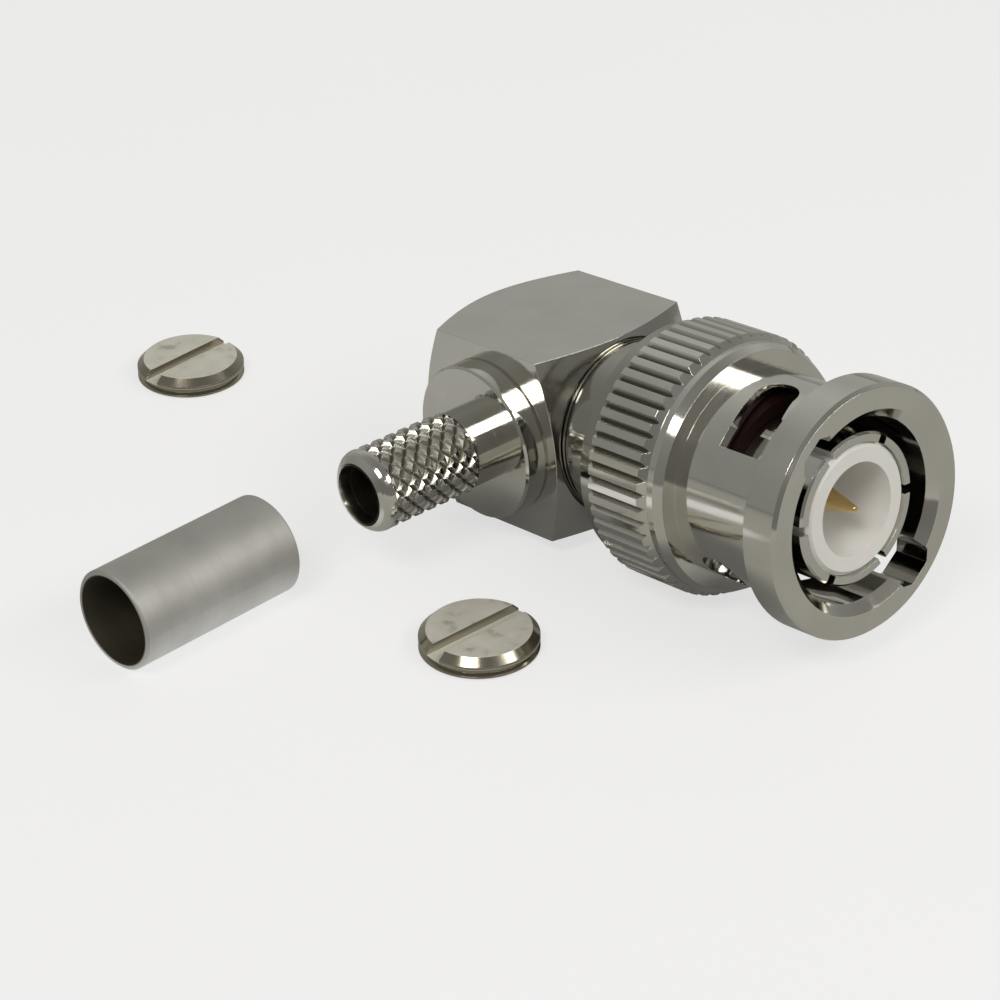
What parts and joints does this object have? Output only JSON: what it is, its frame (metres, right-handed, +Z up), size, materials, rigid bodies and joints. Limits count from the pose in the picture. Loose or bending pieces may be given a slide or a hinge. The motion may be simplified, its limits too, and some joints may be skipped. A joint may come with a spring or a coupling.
{
  "type": "right-angle bayonet coaxial crimp plug",
  "caption": "Right-angle bayonet coaxial crimp plug with sprung turning coupling nut, knurled cable stem, loose crimp ferrule and slotted access caps.",
  "frame": {"origin": "on the surface that the kit lies on, under the middle of the whole kit's box", "axes": "+Z up; the plug points along +X, with its nose raised 7.14 degrees, as it leans on its elbow and its nut; the cable stem points along -Y"},
  "size_m": [0.0524, 0.0362, 0.0154],
  "materials": {
    "nickel": "bright nickel plate on brass, slightly soft mirror",
    "satin_nickel": "satin nickel plate with a fine drawn grain",
    "gold": "gold plate, bright",
    "ptfe": "waxy white fluoropolymer",
    "silicone": "dark red silicone rubber",
    "spring_steel": "plain spring steel"
  },
  "bodies": {
    "plug": {"elbow_body": "nickel", "front_barrel": "nickel", "outer_contact": "nickel", "front_insulator": "ptfe", "rear_insulator": "ptfe", "centre_pin": "gold", "crimp_stem": "nickel", "gasket": "silicone", "wave_washer_front": "spring_steel", "wave_washer_rear": "spring_steel", "crimp_ferrule": "satin_nickel", "access_cap_rear": "satin_nickel", "access_cap_side": "satin_nickel"},
    "spring_plate": {"thrust_washer": "spring_steel"},
    "coupling": {"coupling_nut": "nickel", "retaining_ring": "spring_steel"}
  },
  "joints": [
    {"name": "coupling_slide", "type": "slide", "parent": "plug", "child": "spring_plate", "axis": [0.9922, 0, 0.1243], "range_m": [0, 0.0008], "stiffness_N_per_m": 12000, "springref_m": -0.0003, "deforming": ["wave_washer_front", "wave_washer_rear"]},
    {"name": "coupling_turn", "type": "hinge", "parent": "spring_plate", "child": "coupling", "pos_m": [0.01865, 0.01092, 0.00787], "axis": [0.9922, 0, 0.1243], "continuous": true}
  ]
}
